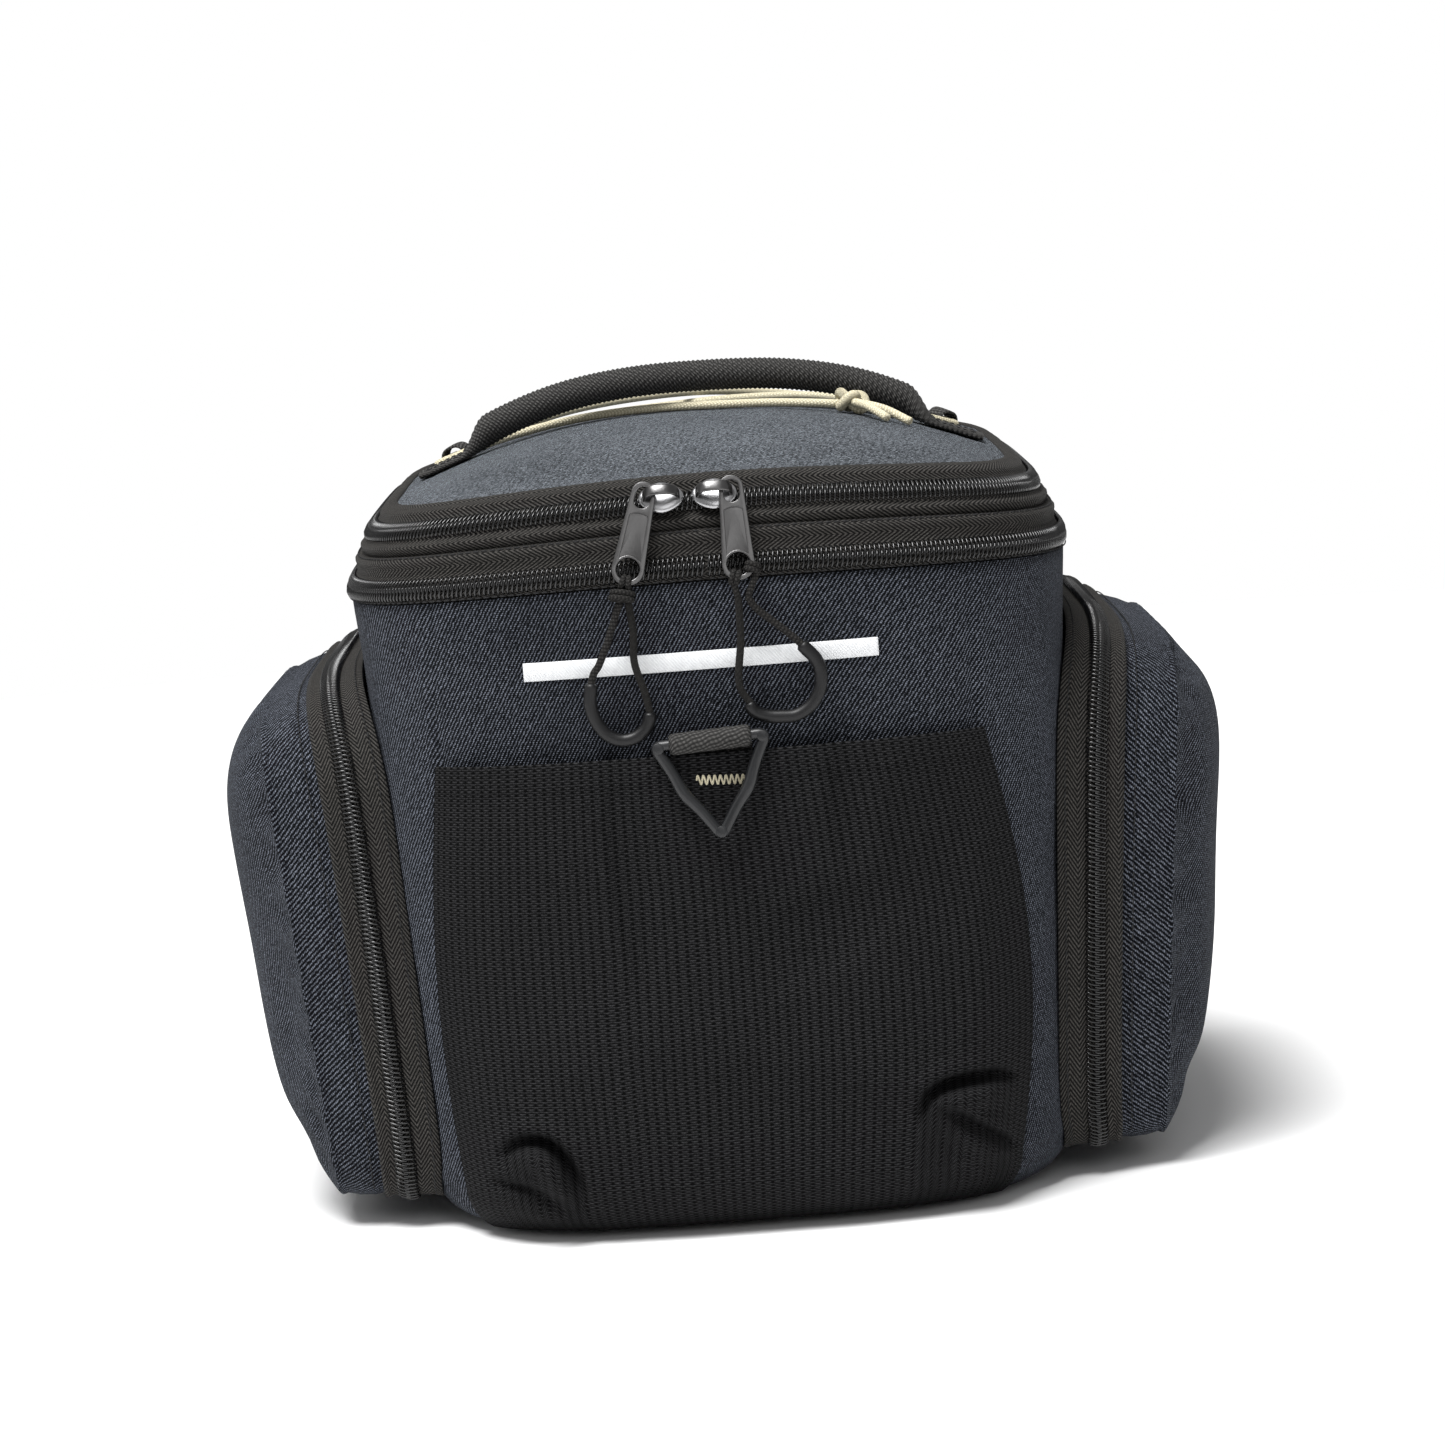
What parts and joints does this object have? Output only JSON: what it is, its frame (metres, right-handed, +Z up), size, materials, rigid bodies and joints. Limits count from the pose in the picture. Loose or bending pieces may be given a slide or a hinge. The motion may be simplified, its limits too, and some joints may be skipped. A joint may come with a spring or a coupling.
{
  "type": "bicycle rack bag",
  "caption": "Boxy twill trunk bag for a bicycle rack, with zip bands under a domed lid, side pockets, a rear mesh pocket, a webbing handle and a laced elastic cord.",
  "frame": {"origin": "on the surface that the bag stands on, under the middle of its bounding box", "axes": "+Z up, -Y toward the rear of the bag with the mesh pocket, +X to the right seen from the rear"},
  "size_m": [0.3532, 0.3586, 0.2873],
  "materials": {
    "twill": "matte dark navy polyester twill",
    "zip_tape": "matte black-brown herringbone tape",
    "zip_coil": "glossy black nylon coil",
    "mesh_fabric": "matte black knitted mesh",
    "webbing": "matte black ribbed webbing",
    "slider_metal": "dark gunmetal, satin",
    "black_cord": "black braided cord",
    "grip_rubber": "matte dark grey rubber",
    "ring_plastic": "satin dark grey moulded plastic",
    "reflective": "silver reflective tape",
    "cream_cord": "cream braided elastic cord"
  },
  "bodies": {
    "bag": {"main_body": "twill", "expansion_tape": "zip_tape", "expansion_coil": "zip_coil", "lid_zip_tape": "zip_tape", "lid_zip_coil": "zip_coil", "lid_hinge": "twill", "lid": "twill", "slider_left": "slider_metal", "slider_right": "slider_metal", "side_pocket_left": "twill", "side_pocket_right": "twill", "side_tape_left": "zip_tape", "side_tape_right": "zip_tape", "side_coil_left": "zip_coil", "side_coil_right": "zip_coil", "mesh_pocket": "mesh_fabric", "ring_loop": "webbing", "reflective_stripe": "reflective", "carry_handle": "webbing", "lacing_cord": "cream_cord", "lacing_knot": "cream_cord", "lacing_loop_left": "webbing", "lacing_loop_front_right": "webbing", "lacing_loop_front_left": "webbing", "lacing_loop_right": "webbing"},
    "ring": {"triangle_ring": "ring_plastic"},
    "left_pull": {"pull_left": "slider_metal", "cord_hitch_left": "black_cord", "cord_outer_left": "black_cord", "cord_inner_left": "black_cord", "cord_grip_left": "grip_rubber"},
    "right_pull": {"pull_right": "slider_metal", "cord_hitch_right": "black_cord", "cord_outer_right": "black_cord", "cord_inner_right": "black_cord", "cord_grip_right": "grip_rubber"}
  },
  "joints": [
    {"name": "ring_swing", "type": "hinge", "parent": "bag", "child": "ring", "pos_m": [-0.0035, -0.17399, 0.1665], "axis": [-0.9986, 0, -0.0523], "range_deg": [0, 140]},
    {"name": "left_pull_swing", "type": "hinge", "parent": "bag", "child": "left_pull", "pos_m": [-0.019, -0.16488, 0.24775], "axis": [0, 1, 0], "range_deg": [0, 35]},
    {"name": "right_pull_swing", "type": "hinge", "parent": "bag", "child": "right_pull", "pos_m": [0.0096, -0.16488, 0.24775], "axis": [0, -1, 0], "range_deg": [0, 35]}
  ]
}
